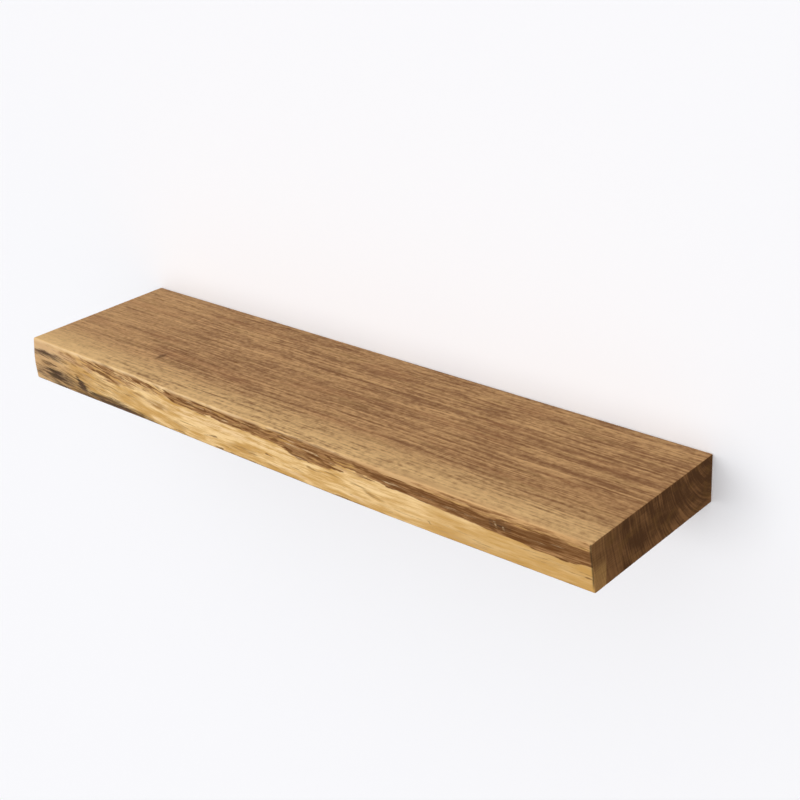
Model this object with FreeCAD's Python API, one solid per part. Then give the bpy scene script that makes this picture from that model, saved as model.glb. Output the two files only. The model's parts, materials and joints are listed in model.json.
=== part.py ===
import FreeCAD, Part
import os

# Floating wall shelf: a live-edge oak board that slides onto two concealed rod supports.
#
# Frame, in millimetres: X runs along the board, +Y goes into the wall and +Z is up.
# The wall is the plane Y = 0, and the origin is on it, midway between the rods at the height of their axes.

# Board
BOARD_LENGTH = 600.0
BOARD_DEPTH = 145.0            # from the wall to the line that the live edge wanders about
BOARD_THICKNESS = 38.0
SAWN_EDGE_RADIUS = 0.8         # the sawn edges are only just taken off
TOP_ARRIS_RADIUS = 2.0         # the live edge is rubbed rounder along the top than along the bottom
BOTTOM_ARRIS_RADIUS = 1.5

# Live edge: how far its control points stand in front of the board depth, at the bottom, the middle and
# the top of the board, in even steps from the left end to the right end
LIVE_EDGE = (
    (4.2, 4.6, 1.0),
    (4.6, 3.8, 1.4),
    (2.6, 2.6, 0.8),
    (3.2, 4.2, 5.0),
    (2.8, 3.2, 3.4),
    (2.8, 3.4, 3.2),
    (1.4, 3.0, 3.4),
    (-1.4, 1.4, 3.4),
    (-3.6, -2.6, 0.2),
)
LIVE_EDGE_OVERRUN = 6.0        # how far the cut that makes the live edge runs past the plank

# Support rods and their bores
ROD_INSET = 100.0              # from each end of the board to the rod's axis
ROD_DIAMETER = 12.0
ROD_LENGTH = 110.0             # in front of the wall plate
ROD_TIP_CHAMFER = 1.5
SPIGOT_DIAMETER = 8.0
BORE_CLEARANCE = 0.05          # on the radius: the board slides on by hand and doesn't droop
BORE_END_GAP = 6.0             # behind the rod's tip, so that the board always closes up to the wall
BORE_MOUTH_CHAMFER = 1.0

# Wall plates and the pockets that hide them
PLATE_LENGTH = 90.0
PLATE_HEIGHT = 25.0
PLATE_THICKNESS = 4.0
PLATE_CORNER_RADIUS = 4.0
POCKET_SIDE_CLEARANCE = 1.5
POCKET_FLOOR_CLEARANCE = 0.5

# Countersunk screws
SCREW_SPACING = 60.0           # between the two screws of one plate
SCREW_DIAMETER = 5.0
SCREW_LENGTH = 50.0
SCREW_TIP_LENGTH = 7.0
HEAD_DIAMETER = 9.6
HEAD_RIM = 0.6                 # the straight rim above the head's cone
RECESS_SPAN = 5.0
RECESS_WIDTH = 1.4
RECESS_DEPTH = 2.4
SCREW_HOLE_CLEARANCE = 0.25    # on the radius, in the wall plate
COUNTERSINK_CLEARANCE = 0.2    # on the radius, round the screw's head

# Wall plugs
PLUG_DIAMETER = 8.0
PLUG_LENGTH = 40.0
PLUG_BORE_CLEARANCE = 0.05     # on the radius, round the screw
PLUG_NOSE_CHAMFER = 1.0
PLUG_SLIT_WIDTH = 1.2
PLUG_COLLAR_LENGTH = 8.0       # the unslit length at the mouth

INTO_WALL = FreeCAD.Vector(0, 1, 0)
OFF_WALL = FreeCAD.Vector(0, -1, 0)
ALONG_BOARD = FreeCAD.Vector(1, 0, 0)
UP = FreeCAD.Vector(0, 0, 1)


def box(x_low, x_high, y_low, y_high, z_low, z_high):
    """A box between the given coordinates."""
    corner = FreeCAD.Vector(x_low, y_low, z_low)
    return Part.makeBox(x_high - x_low, y_high - y_low, z_high - z_low, corner)


def rod_positions():
    """The rods' places along the board, left then right."""
    reach = BOARD_LENGTH / 2 - ROD_INSET
    return {"left": -reach, "right": reach}


def screw_positions():
    """The screws' places along the board, by the name of the screw."""
    half = SCREW_SPACING / 2
    left, right = rod_positions().values()
    return {
        "left_outer": left - half,
        "left_inner": left + half,
        "right_inner": right - half,
        "right_outer": right + half,
    }


def edges_along(shape, direction, where):
    """The straight edges of a shape that run in a direction and whose midpoints pass a test."""
    found = []
    for edge in shape.Edges:
        run = edge.lastVertex().Point - edge.firstVertex().Point
        if run.Length > 0 and run.cross(direction).Length < 1e-6 and where(edge.CenterOfMass):
            found.append(edge)
    return found


def plate_outline(grow, thickness):
    """The wall plate's rounded rectangle, grown all round and with its back on the wall, centred on X = 0."""
    half_length = PLATE_LENGTH / 2 + grow
    half_height = PLATE_HEIGHT / 2 + grow
    block = box(-half_length, half_length, -thickness, 0, -half_height, half_height)
    corners = edges_along(block, INTO_WALL, lambda middle: True)
    return block.makeFillet(PLATE_CORNER_RADIUS + grow, corners)


def clamped_knots(count, degree):
    """Even knots and their multiplicities, for a spline that starts and ends on its outer control points."""
    inner = count - degree - 1
    return list(range(inner + 2)), [degree + 1] + [1] * inner + [degree + 1]


def live_edge_waste():
    """The wood in front of the live edge, which runs past the plank on every side but the back."""
    half_height = BOARD_THICKNESS / 2
    last = len(LIVE_EDGE) - 1
    rows = []
    for index, (bottom, middle, top) in enumerate(LIVE_EDGE):
        x = (index / last - 0.5) * (BOARD_LENGTH + 2 * LIVE_EDGE_OVERRUN)
        below = bottom + (bottom - middle) * LIVE_EDGE_OVERRUN / half_height
        above = top + (top - middle) * LIVE_EDGE_OVERRUN / half_height
        past = half_height + LIVE_EDGE_OVERRUN
        heights = (-past, -half_height, 0, half_height, past)
        reaches = (below, bottom, middle, top, above)
        rows.append([FreeCAD.Vector(x, -BOARD_DEPTH - reach, z) for reach, z in zip(reaches, heights)])
    along_degree, across_degree = 3, 2
    along_knots, along_repeats = clamped_knots(len(rows), along_degree)
    across_knots, across_repeats = clamped_knots(len(rows[0]), across_degree)
    surface = Part.BSplineSurface()
    knots = (along_repeats, across_repeats, along_knots, across_knots)
    surface.buildFromPolesMultsKnots(rows, *knots, False, False, along_degree, across_degree)
    wander = max(map(max, LIVE_EDGE)) - min(map(min, LIVE_EDGE))
    return surface.toShape().extrude(OFF_WALL * (wander + 2 * LIVE_EDGE_OVERRUN))


def round_live_edge(board):
    """Round the two long arrises of the live edge."""
    for radius, side in ((TOP_ARRIS_RADIUS, 1), (BOTTOM_ARRIS_RADIUS, -1)):
        level = side * BOARD_THICKNESS / 2
        arris = []
        for edge in board.Edges:
            middle = edge.CenterOfMass
            in_front = middle.y < -BOARD_DEPTH / 2
            if in_front and abs(middle.z - level) < 0.01 and edge.Length > BOARD_LENGTH / 2:
                arris.append(edge)
        board = board.makeFillet(radius, arris)
    return board


def make_board():
    """The oak board, with its live edge, rod bores and plate pockets."""
    half_length = BOARD_LENGTH / 2
    half_height = BOARD_THICKNESS / 2
    front = -BOARD_DEPTH - max(map(max, LIVE_EDGE)) - LIVE_EDGE_OVERRUN
    plank = box(-half_length, half_length, front, 0, -half_height, half_height)
    board = round_live_edge(plank.cut(live_edge_waste()))
    sawn_edges = edges_along(board, INTO_WALL, lambda middle: True)
    sawn_edges += edges_along(board, ALONG_BOARD, lambda middle: middle.y > front / 2)
    sawn_edges += edges_along(board, UP, lambda middle: middle.y > front / 2)
    board = board.makeFillet(SAWN_EDGE_RADIUS, sawn_edges)

    pocket_depth = PLATE_THICKNESS + POCKET_FLOOR_CLEARANCE
    bore_radius = ROD_DIAMETER / 2 + BORE_CLEARANCE
    bore_depth = PLATE_THICKNESS + ROD_LENGTH + BORE_END_GAP
    for x in rod_positions().values():
        pocket = plate_outline(POCKET_SIDE_CLEARANCE, pocket_depth)
        pocket.translate(FreeCAD.Vector(x, 0, 0))
        bore = Part.makeCylinder(bore_radius, bore_depth, FreeCAD.Vector(x, 0, 0), OFF_WALL)
        mouth_start = FreeCAD.Vector(x, -pocket_depth, 0)
        mouth_radius = bore_radius + BORE_MOUTH_CHAMFER
        mouth = Part.makeCone(mouth_radius, bore_radius, BORE_MOUTH_CHAMFER, mouth_start, OFF_WALL)
        board = board.cut(pocket.fuse(bore).fuse(mouth))
    return board.removeSplitter()


def make_wall_plate(x, screw_places):
    """A steel wall plate with a hole for the rod's spigot and a countersunk hole for each screw."""
    plate = plate_outline(0, PLATE_THICKNESS)
    plate.translate(FreeCAD.Vector(x, 0, 0))
    spigot_hole = Part.makeCylinder(SPIGOT_DIAMETER / 2, PLATE_THICKNESS, FreeCAD.Vector(x, 0, 0), OFF_WALL)
    plate = plate.cut(spigot_hole)
    hole_radius = SCREW_DIAMETER / 2 + SCREW_HOLE_CLEARANCE
    sink_radius = HEAD_DIAMETER / 2 + COUNTERSINK_CLEARANCE
    sink_depth = sink_radius - hole_radius
    for screw_x in screw_places:
        front = FreeCAD.Vector(screw_x, -PLATE_THICKNESS, 0)
        hole = Part.makeCylinder(hole_radius, PLATE_THICKNESS, front, INTO_WALL)
        rim = Part.makeCylinder(sink_radius, HEAD_RIM, front, INTO_WALL)
        cone_start = front + INTO_WALL * HEAD_RIM
        cone = Part.makeCone(sink_radius, hole_radius, sink_depth, cone_start, INTO_WALL)
        plate = plate.cut(hole.fuse(rim).fuse(cone))
    return plate


def make_support_rod(x):
    """A steel rod with a chamfered tip and a spigot that fills its hole in the wall plate."""
    root = FreeCAD.Vector(x, -PLATE_THICKNESS, 0)
    radius = ROD_DIAMETER / 2
    straight = Part.makeCylinder(radius, ROD_LENGTH - ROD_TIP_CHAMFER, root, OFF_WALL)
    tip_start = root + OFF_WALL * (ROD_LENGTH - ROD_TIP_CHAMFER)
    tip = Part.makeCone(radius, radius - ROD_TIP_CHAMFER, ROD_TIP_CHAMFER, tip_start, OFF_WALL)
    spigot = Part.makeCylinder(SPIGOT_DIAMETER / 2, PLATE_THICKNESS, FreeCAD.Vector(x, 0, 0), OFF_WALL)
    return straight.fuse(tip).fuse(spigot)


def make_screw(x):
    """A countersunk screw with a cross recess, its head flush with the wall plate's front."""
    head_radius = HEAD_DIAMETER / 2
    shank_radius = SCREW_DIAMETER / 2
    front = FreeCAD.Vector(x, -PLATE_THICKNESS, 0)
    cone_start = front + INTO_WALL * HEAD_RIM
    cone_length = head_radius - shank_radius
    shank_length = SCREW_LENGTH - SCREW_TIP_LENGTH
    rim = Part.makeCylinder(head_radius, HEAD_RIM, front, INTO_WALL)
    cone = Part.makeCone(head_radius, shank_radius, cone_length, cone_start, INTO_WALL)
    shank = Part.makeCylinder(shank_radius, shank_length, front, INTO_WALL)
    tip = Part.makeCone(shank_radius, 0, SCREW_TIP_LENGTH, front + INTO_WALL * shank_length, INTO_WALL)
    half_span = RECESS_SPAN / 2
    half_width = RECESS_WIDTH / 2
    recess_floor = front.y + RECESS_DEPTH
    slot = box(x - half_span, x + half_span, front.y, recess_floor, -half_width, half_width)
    cross_slot = box(x - half_width, x + half_width, front.y, recess_floor, -half_span, half_span)
    return rim.fuse(cone).fuse(shank).fuse(tip).cut(slot.fuse(cross_slot))


def make_plug(x):
    """A nylon wall plug, slit from its nose to its collar and opened by its screw."""
    mouth = FreeCAD.Vector(x, 0, 0)
    radius = PLUG_DIAMETER / 2
    body = Part.makeCylinder(radius, PLUG_LENGTH - PLUG_NOSE_CHAMFER, mouth, INTO_WALL)
    nose_start = mouth + INTO_WALL * (PLUG_LENGTH - PLUG_NOSE_CHAMFER)
    nose = Part.makeCone(radius, radius - PLUG_NOSE_CHAMFER, PLUG_NOSE_CHAMFER, nose_start, INTO_WALL)
    bore_radius = SCREW_DIAMETER / 2 + PLUG_BORE_CLEARANCE
    bore = Part.makeCylinder(bore_radius, PLUG_LENGTH, mouth, INTO_WALL)
    half_slit = PLUG_SLIT_WIDTH / 2
    slit = box(x - radius, x + radius, PLUG_COLLAR_LENGTH, PLUG_LENGTH, -half_slit, half_slit)
    return body.fuse(nose).cut(bore).cut(slit)


def save(name, shape):
    """Write one node, after checking that it is sound."""
    if not shape.isValid() or shape.Volume <= 0:
        raise ValueError(name + " is not a sound solid")
    shape.exportStep("parts/" + name + ".step")
    print(name, round(shape.Volume / 1000, 2), "cm3,", len(shape.Solids), "solid")


def main():
    """Make every piece and write it."""
    os.makedirs("parts", exist_ok=True)
    save("shelf_board", make_board())
    for side, rod_x in rod_positions().items():
        screw_places = {name: x for name, x in screw_positions().items() if name.startswith(side)}
        save(side + "_wall_plate", make_wall_plate(rod_x, screw_places.values()))
        save(side + "_support_rod", make_support_rod(rod_x))
        for name, screw_x in screw_places.items():
            save(name + "_screw", make_screw(screw_x))
            save(name + "_plug", make_plug(screw_x))


main()
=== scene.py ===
"""A floating wall shelf: a live-edge oak board that slides onto two concealed rod supports.

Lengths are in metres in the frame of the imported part: X runs along the board, +Y goes into the wall and +Z is up.
Marks and grain are laid out in millimetres.
"""

import json
import math

import bmesh
import bpy
import numpy as np
from mathutils import Euler, Matrix, Vector, noise
from mathutils.bvhtree import BVHTree

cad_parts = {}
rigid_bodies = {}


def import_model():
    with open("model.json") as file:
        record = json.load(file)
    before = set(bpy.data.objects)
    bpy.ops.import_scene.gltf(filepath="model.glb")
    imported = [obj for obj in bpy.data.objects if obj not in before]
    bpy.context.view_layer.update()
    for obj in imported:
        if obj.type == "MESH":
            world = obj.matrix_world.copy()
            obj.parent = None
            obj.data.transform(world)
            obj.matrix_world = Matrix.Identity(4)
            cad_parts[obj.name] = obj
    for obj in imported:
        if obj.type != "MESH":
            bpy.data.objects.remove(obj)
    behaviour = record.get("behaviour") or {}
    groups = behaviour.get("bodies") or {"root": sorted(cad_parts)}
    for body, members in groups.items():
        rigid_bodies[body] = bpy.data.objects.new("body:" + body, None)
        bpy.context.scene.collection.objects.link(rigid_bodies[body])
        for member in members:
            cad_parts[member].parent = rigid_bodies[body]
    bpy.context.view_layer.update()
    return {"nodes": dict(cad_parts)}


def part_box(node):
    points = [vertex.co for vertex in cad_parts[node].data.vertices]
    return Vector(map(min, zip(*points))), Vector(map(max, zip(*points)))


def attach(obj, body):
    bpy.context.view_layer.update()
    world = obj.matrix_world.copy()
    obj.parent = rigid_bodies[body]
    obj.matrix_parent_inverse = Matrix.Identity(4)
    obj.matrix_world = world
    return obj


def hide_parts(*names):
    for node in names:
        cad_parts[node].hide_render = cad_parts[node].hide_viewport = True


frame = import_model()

bl_info = {
    "name": "Floating Wall Shelf",
    "version": (1, 0, 0),
    "blender": (4, 5, 0),
    "location": "View3D > Sidebar > Shelf",
    "description": "Builds a live-edge oak shelf with its concealed rod supports, screws and wall plugs",
    "category": "Object",
}

MM = 0.001
BOARD_LOW, BOARD_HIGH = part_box("shelf_board")
SIDES = ("left", "right")
FIXINGS = ("left_outer", "left_inner", "right_inner", "right_outer")

# The oak, in millimetres
PITH_Y = 15.0                  # the growth rings curve about a line along X, behind and above the board
PITH_Z = 36.0
RING_WIDTH = 3.3
BRIGHT_RING = 71.0             # radius of one pale ring that stands out on the ends
SAPWOOD = -128.7               # Y where the sapwood starts on the ends
BRUISE_X = -166.0              # a small dark knot scar on the top
BRUISE_Y = -107.0
SLANT_START = -100.0           # X from which the fibres of the live edge climb towards the left end
SLANT = 0.12


# ---------------------------------------------------------------- sizes and colours

def size(name, description, metres):
    """A length that a user can change."""
    return bpy.props.FloatProperty(
        name=name, description=description, default=metres, min=0.0, precision=5, unit="LENGTH"
    )


def linear(level):
    """A screen colour level from 0 to 255 as linear light."""
    share = level / 255
    return share / 12.92 if share <= 0.04045 else ((share + 0.055) / 1.055) ** 2.4


def tint(name, description, red, green, blue):
    """A colour that a user can change, given in screen levels."""
    return bpy.props.FloatVectorProperty(
        name=name,
        description=description,
        default=(linear(red), linear(green), linear(blue), 1.0),
        size=4,
        min=0.0,
        max=1.0,
        subtype="COLOR",
    )


class BoardSizes(bpy.types.PropertyGroup):
    """Sizes of the oak board"""

    length: size("Length", "From end to end along the wall", BOARD_HIGH.x - BOARD_LOW.x)
    depth: size("Depth", "From the wall to the line that the live edge wanders about", 0.145)
    thickness: size("Thickness", "Between the two sawn faces", BOARD_HIGH.z - BOARD_LOW.z)
    sawn_edge: size("Sawn edge", "Radius of the edges that were only just taken off", 0.8 * MM)
    top_arris: size("Top arris", "Radius between the top and the live edge", 2.0 * MM)
    bottom_arris: size("Bottom arris", "Radius between the underside and the live edge", 1.5 * MM)
    roll: size("Rolled arris", "How far the top arris falls away towards the right end", 1.4 * MM)
    relief: size("Relief", "Depth of the ridges and hollows of the live edge", 0.45 * MM)
    pocket_gap: size("Pocket gap", "Between a wall plate and the side of its pocket", 1.5 * MM)
    pocket_floor: size("Pocket floor gap", "Between a wall plate and the floor of its pocket", 0.5 * MM)
    bore_gap: size("Bore gap", "Between a rod and the wall of its bore", 0.05 * MM)
    bore_end: size("Bore end gap", "Behind the tip of a rod", 6.0 * MM)


class HardwareSizes(bpy.types.PropertyGroup):
    """Sizes of the rods, plates, screws and plugs"""

    spigot: size("Spigot radius", "Of the riveted end of a rod", 4.0 * MM)
    tip_chamfer: size("Tip chamfer", "At the free end of a rod", 1.5 * MM)
    plate_edge: size("Plate edge", "Width of the broken edges of a wall plate", 0.25 * MM)
    head_rim: size("Head rim", "Straight rim above the cone of a screw head", 0.6 * MM)
    core: size("Thread core", "Radius of a screw under its thread", 1.65 * MM)
    crest: size("Thread crest", "Radius of a screw over its thread", 2.48 * MM)
    pitch: size("Thread pitch", "From one turn of the thread to the next", 2.6 * MM)
    screw_tip: size("Screw tip", "Length of the point of a screw", 7.0 * MM)
    plug_bore: size("Plug bore", "Radius of the hole through an opened plug", 2.6 * MM)
    plug_slit: size("Plug slit", "Width of the slit in a plug", 1.2 * MM)
    plug_collar: size("Plug collar", "Unslit length at the mouth of a plug", 8.0 * MM)
    plug_rib: size("Plug rib", "From one rib of a plug to the next", 3.4 * MM)


class OakColours(bpy.types.PropertyGroup):
    """Colours of the oiled oak"""

    heart_light: tint("Heartwood, light", "Dense wood of the sawn faces", 216, 168, 114)
    heart_dark: tint("Heartwood, dark", "Open wood of the sawn faces", 140, 96, 59)
    heart_rose: tint("Heartwood, rosy", "Redder patches of the sawn faces", 172, 118, 76)
    heart_olive: tint("Heartwood, olive", "Greener patches of the sawn faces", 172, 136, 84)
    edge_gold: tint("Towards the live edge", "Sawn faces near the live edge", 240, 197, 136)
    # The pores' colour also paints the shade along the back edge, where the board meets the wall
    pore_and_wall_shade: tint("Pores", "Oil-filled pores", 98, 60, 30)
    end_light: tint("End grain, light", "Late wood of the sawn ends", 150, 106, 66)
    end_dark: tint("End grain, dark", "Early wood of the sawn ends", 92, 60, 34)
    end_olive: tint("End grain, olive", "Greener patches of the sawn ends", 124, 88, 46)
    end_sap: tint("End grain, sapwood", "Ends near the live edge", 206, 158, 96)
    raw: tint("Bare oak", "Inside the pockets and bores, where no oil went", 205, 170, 126)
    gold_light: tint("Live edge, light", "Palest wood under the bark", 250, 214, 156)
    gold_dark: tint("Live edge, dark", "Deeper golden wood under the bark", 206, 160, 92)
    blush: tint("Blush", "Pinkish wood on the live edge", 209, 171, 130)
    bast_light: tint("Bast, light", "Inner bark left on the live edge", 182, 136, 89)
    bast_dark: tint("Bast, dark", "Deep fibres of the inner bark", 98, 58, 23)
    shoulder: tint("Shoulder", "Rounded wood above the inner bark", 200, 156, 108)
    streak: tint("Streaks", "Olive brown streaks on the live edge", 158, 116, 62)
    # Besides the stains, this colour paints the shade line along the bottom arris of the live edge
    stains_and_painted_shade: tint("Stain", "Weathered olive grey wood on the live edge", 62, 48, 28)
    stain_plum: tint("Stain, plum", "Weathered purple grey wood on the live edge", 98, 72, 58)
    # Besides fresh pale wood, this colour paints a highlight along the top arris
    pale: tint("Pale lines", "Fresh wood along the arris", 247, 213, 164)


class MetalColours(bpy.types.PropertyGroup):
    """Colours of the hardware"""

    zinc: tint("Zinc", "Zinc plating of the wall plates", 206, 209, 212)
    zinc_bloom: tint("Zinc bloom", "Dull bloom on the zinc", 190, 194, 198)
    steel: tint("Bright steel", "Drawn bar of the rods", 200, 199, 196)
    steel_scored: tint("Scored steel", "Draw lines and rub marks of the rods", 176, 174, 170)
    yellow_zinc: tint("Yellow zinc", "Passivated zinc of the screws", 226, 196, 128)
    yellow_zinc_blush: tint("Yellow zinc blush", "Pink and green bloom of the screws", 198, 176, 132)
    nylon: tint("Nylon", "Moulded nylon of the plugs", 146, 148, 150)


class StageSettings(bpy.types.PropertyGroup):
    """The wall, the floor, the light and the camera"""

    wall: tint("Wall", "Paint of the wall and the floor", 249, 249, 252)
    key: bpy.props.FloatProperty(name="Key", description="Strength of the soft key light", default=1.67, min=0)
    fill: bpy.props.FloatProperty(name="Fill", description="Light from all round", default=0.48, min=0)
    slope: bpy.props.FloatProperty(
        name="Slope", description="How much more of the fill comes from above than from below", default=0.7, min=0
    )
    softness: bpy.props.FloatProperty(
        name="Softness", description="Width of the key light in the sky", default=math.radians(30), subtype="ANGLE"
    )
    lens: bpy.props.FloatProperty(name="Lens", description="Focal length for a 36 mm sensor", default=60.705, min=1)


# ---------------------------------------------------------------- finishes

class Signal:
    """A socket of a node tree. Arithmetic on it adds Math nodes."""

    def __init__(self, graph, socket):
        self.graph = graph
        self.socket = socket

    def output(self, which):
        """Another output of the same node."""
        return Signal(self.graph, self.socket.node.outputs[which])

    def __add__(self, other):
        return self.graph.math("ADD", self, other)

    def __radd__(self, other):
        return self.graph.math("ADD", other, self)

    def __sub__(self, other):
        return self.graph.math("SUBTRACT", self, other)

    def __rsub__(self, other):
        return self.graph.math("SUBTRACT", other, self)

    def __mul__(self, other):
        return self.graph.math("MULTIPLY", self, other)

    def __rmul__(self, other):
        return self.graph.math("MULTIPLY", other, self)

    def __truediv__(self, other):
        return self.graph.math("DIVIDE", self, other)

    def __abs__(self):
        return self.graph.math("ABSOLUTE", self)


MIX_FIRST, MIX_SECOND, MIX_RESULT = 6, 7, 2    # the colour sockets of a Mix node


class Graph:
    """A node tree, with the few patterns that the finishes share."""

    def __init__(self, tree):
        self.tree = tree

    def node(self, kind, settings=None, sockets=None, output=0):
        """Add a node, set its settings, feed its sockets, and return one of its outputs."""
        added = self.tree.nodes.new(kind)
        for setting, value in (settings or {}).items():
            setattr(added, setting, value)
        for socket, value in (sockets or {}).items():
            self.feed(added.inputs[socket], value)
        return Signal(self, added.outputs[output])

    def feed(self, socket, value):
        """Link a signal to a socket, or set the socket to a number or colour."""
        if isinstance(value, Signal):
            self.tree.links.new(value.socket, socket)
        else:
            socket.default_value = value

    def math(self, operation, *values):
        """A Math node on the given numbers and signals."""
        return self.node("ShaderNodeMath", {"operation": operation}, dict(enumerate(values)))

    def place(self):
        """The place on the object, as three signals in millimetres."""
        coordinates = self.node("ShaderNodeTexCoord", output="Object")
        parts = self.node("ShaderNodeSeparateXYZ", sockets={0: coordinates})
        return [parts.output(axis) * (1 / MM) for axis in range(3)]

    def cloud(self, x, y, z, detail=2.0, roughness=0.5):
        """Soft noise from 0 to 1, about one blotch to a unit of each coordinate."""
        at = self.node("ShaderNodeCombineXYZ", sockets={0: x, 1: y, 2: z})
        sockets = {"Vector": at, "Scale": 1.0, "Detail": detail, "Roughness": roughness}
        return self.node("ShaderNodeTexNoise", {"noise_dimensions": "3D"}, sockets)

    def smooth(self, value, low, high):
        """0 where the value is at low, 1 where it is at high, and smooth between."""
        sockets = {"Value": value, "From Min": low, "From Max": high}
        return self.node("ShaderNodeMapRange", {"interpolation_type": "SMOOTHSTEP"}, sockets)

    def mix(self, share, first, second):
        """The first colour where the share is 0, and the second where it is 1."""
        sockets = {0: share, MIX_FIRST: first, MIX_SECOND: second}
        return self.node("ShaderNodeMix", {"data_type": "RGBA"}, sockets, output=MIX_RESULT)

    def layers(self, colour, *coats):
        """A colour with others laid over it in turn, each given as (share, colour)."""
        for share, coat in coats:
            colour = self.mix(share, colour, coat)
        return colour

    def mark(self, name):
        """A mark that the mesh carries at its points."""
        return self.node("ShaderNodeAttribute", {"attribute_name": name}, output="Fac")


class Finish(Graph):
    """A material and its node tree."""

    def __init__(self, name, constants):
        self.material = bpy.data.materials.new(name)
        self.material.use_nodes = True
        super().__init__(self.material.node_tree)
        self.shader = self.tree.nodes["Principled BSDF"]
        for socket, value in constants.items():
            self.shader.inputs[socket].default_value = value

    def surface(self, colour, roughness, height):
        """Feed the shader. The height of the fine relief is in millimetres."""
        self.feed(self.shader.inputs["Base Color"], colour)
        self.feed(self.shader.inputs["Roughness"], roughness)
        bump = self.node("ShaderNodeBump", sockets={"Strength": 1.0, "Distance": MM, "Height": height})
        self.feed(self.shader.inputs["Normal"], bump)
        return self.material


def varied(level, *clouds):
    """A level that clouds raise and lower, each given as (cloud, weight)."""
    return sum(((cloud - 0.5) * weight for cloud, weight in clouds), level)


def wood_grain(finish):
    """Place, growth rings and fibres of solid oak: cut anywhere, the board shows the same log."""
    x, y, z = finish.place()
    towards_edge = PITH_Y - y
    below = PITH_Z - z
    wander = finish.cloud(x / 110, y / 45, z / 45, detail=1.0)
    ripple = finish.cloud(x / 32, y / 8, z / 8, detail=2.0)
    root = finish.math("SQRT", towards_edge * towards_edge + below * below)
    radius = varied(root, (wander, 5.0), (ripple, 0.9))
    arc = finish.math("ARCTAN2", below, towards_edge) * root
    rings = radius / RING_WIDTH + finish.cloud(radius / 11, 0.0, 0.0, detail=1.0) * 1.6
    ring = finish.math("FRACT", rings)
    return {
        "x": x,
        "y": y,
        "z": z,
        "radius": radius,
        "arc": arc,
        "early": finish.smooth(ring, 0.0, 0.14) * finish.smooth(ring, 0.72, 0.22),
        "broad": finish.cloud(x / 75, radius / 9, arc / 14, detail=2.0),
        "bands": finish.cloud(x / 150, radius / 2.0, arc / 12, detail=1.0),
        "streaks": finish.cloud(x / 52, radius / 2.8, arc / 4.5, detail=1.0),
        "lines": finish.cloud(x / 21, radius / 1.8, arc / 1.9, detail=1.0),
        "fibres": finish.cloud(x / 7, radius / 0.9, arc / 0.9, detail=1.0),
        "mottle": finish.cloud(x / 4.5, y / 3, z / 3, detail=2.0),
    }


# Growth lines that stand out on the top of the board, in millimetres: the distance from the wall, the ends along the
# board, the half width, and the tone, where -1 is dark and 1 is light
GROWTH_LINES = (
    (24, 118, 168, 0.9, -0.5), (27, 120, 150, 0.8, 0.6), (30, 182, 240, 0.8, -0.5), (38, 190, 260, 1.2, -0.4),
    (48, -40, 160, 1.3, -1), (46, 190, 300, 1, -0.6), (60, 228, 300, 3, -0.35), (67, 0, 34, 0.7, 0.7),
    (67, 60, 138, 0.7, 0.5), (76, 192, 278, 3, -0.6), (81.5, 178, 300, 0.9, 0.9), (79, 120, 190, 0.9, -0.6),
    (84, 36, 54, 1, -1), (84, 68, 110, 0.8, -0.6), (90, 16, 170, 0.7, 0.7), (93, 186, 216, 0.9, -0.7),
    (97.5, 20, 66, 1.2, -0.7), (97, 132, 178, 1.1, -0.8), (98.5, 190, 232, 0.7, 0.8), (103, 26, 68, 0.8, 0.7),
    (106, 108, 138, 0.8, 0.8), (109, -10, 60, 1.1, -0.8), (110, 96, 128, 2.4, -0.7), (111, 128, 205, 1.1, -0.6),
    (107.5, 140, 172, 0.8, 0.6), (104, 250, 300, 0.9, 0.6), (116, -110, 20, 1.2, -0.5), (129.5, 236, 300, 0.8, 0.6),
    (129, 76, 130, 1.4, 0.5), (133, -90, -10, 1, -0.5), (79, -300, -210, 1.6, -0.5), (51, -290, -250, 1.4, -0.4),
    (106, -150, -70, 1.6, -0.5), (86, -300, -205, 0.9, 0.4), (122, 40, 100, 1, -0.4), (124, 170, 240, 1.1, -0.4),
)


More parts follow.
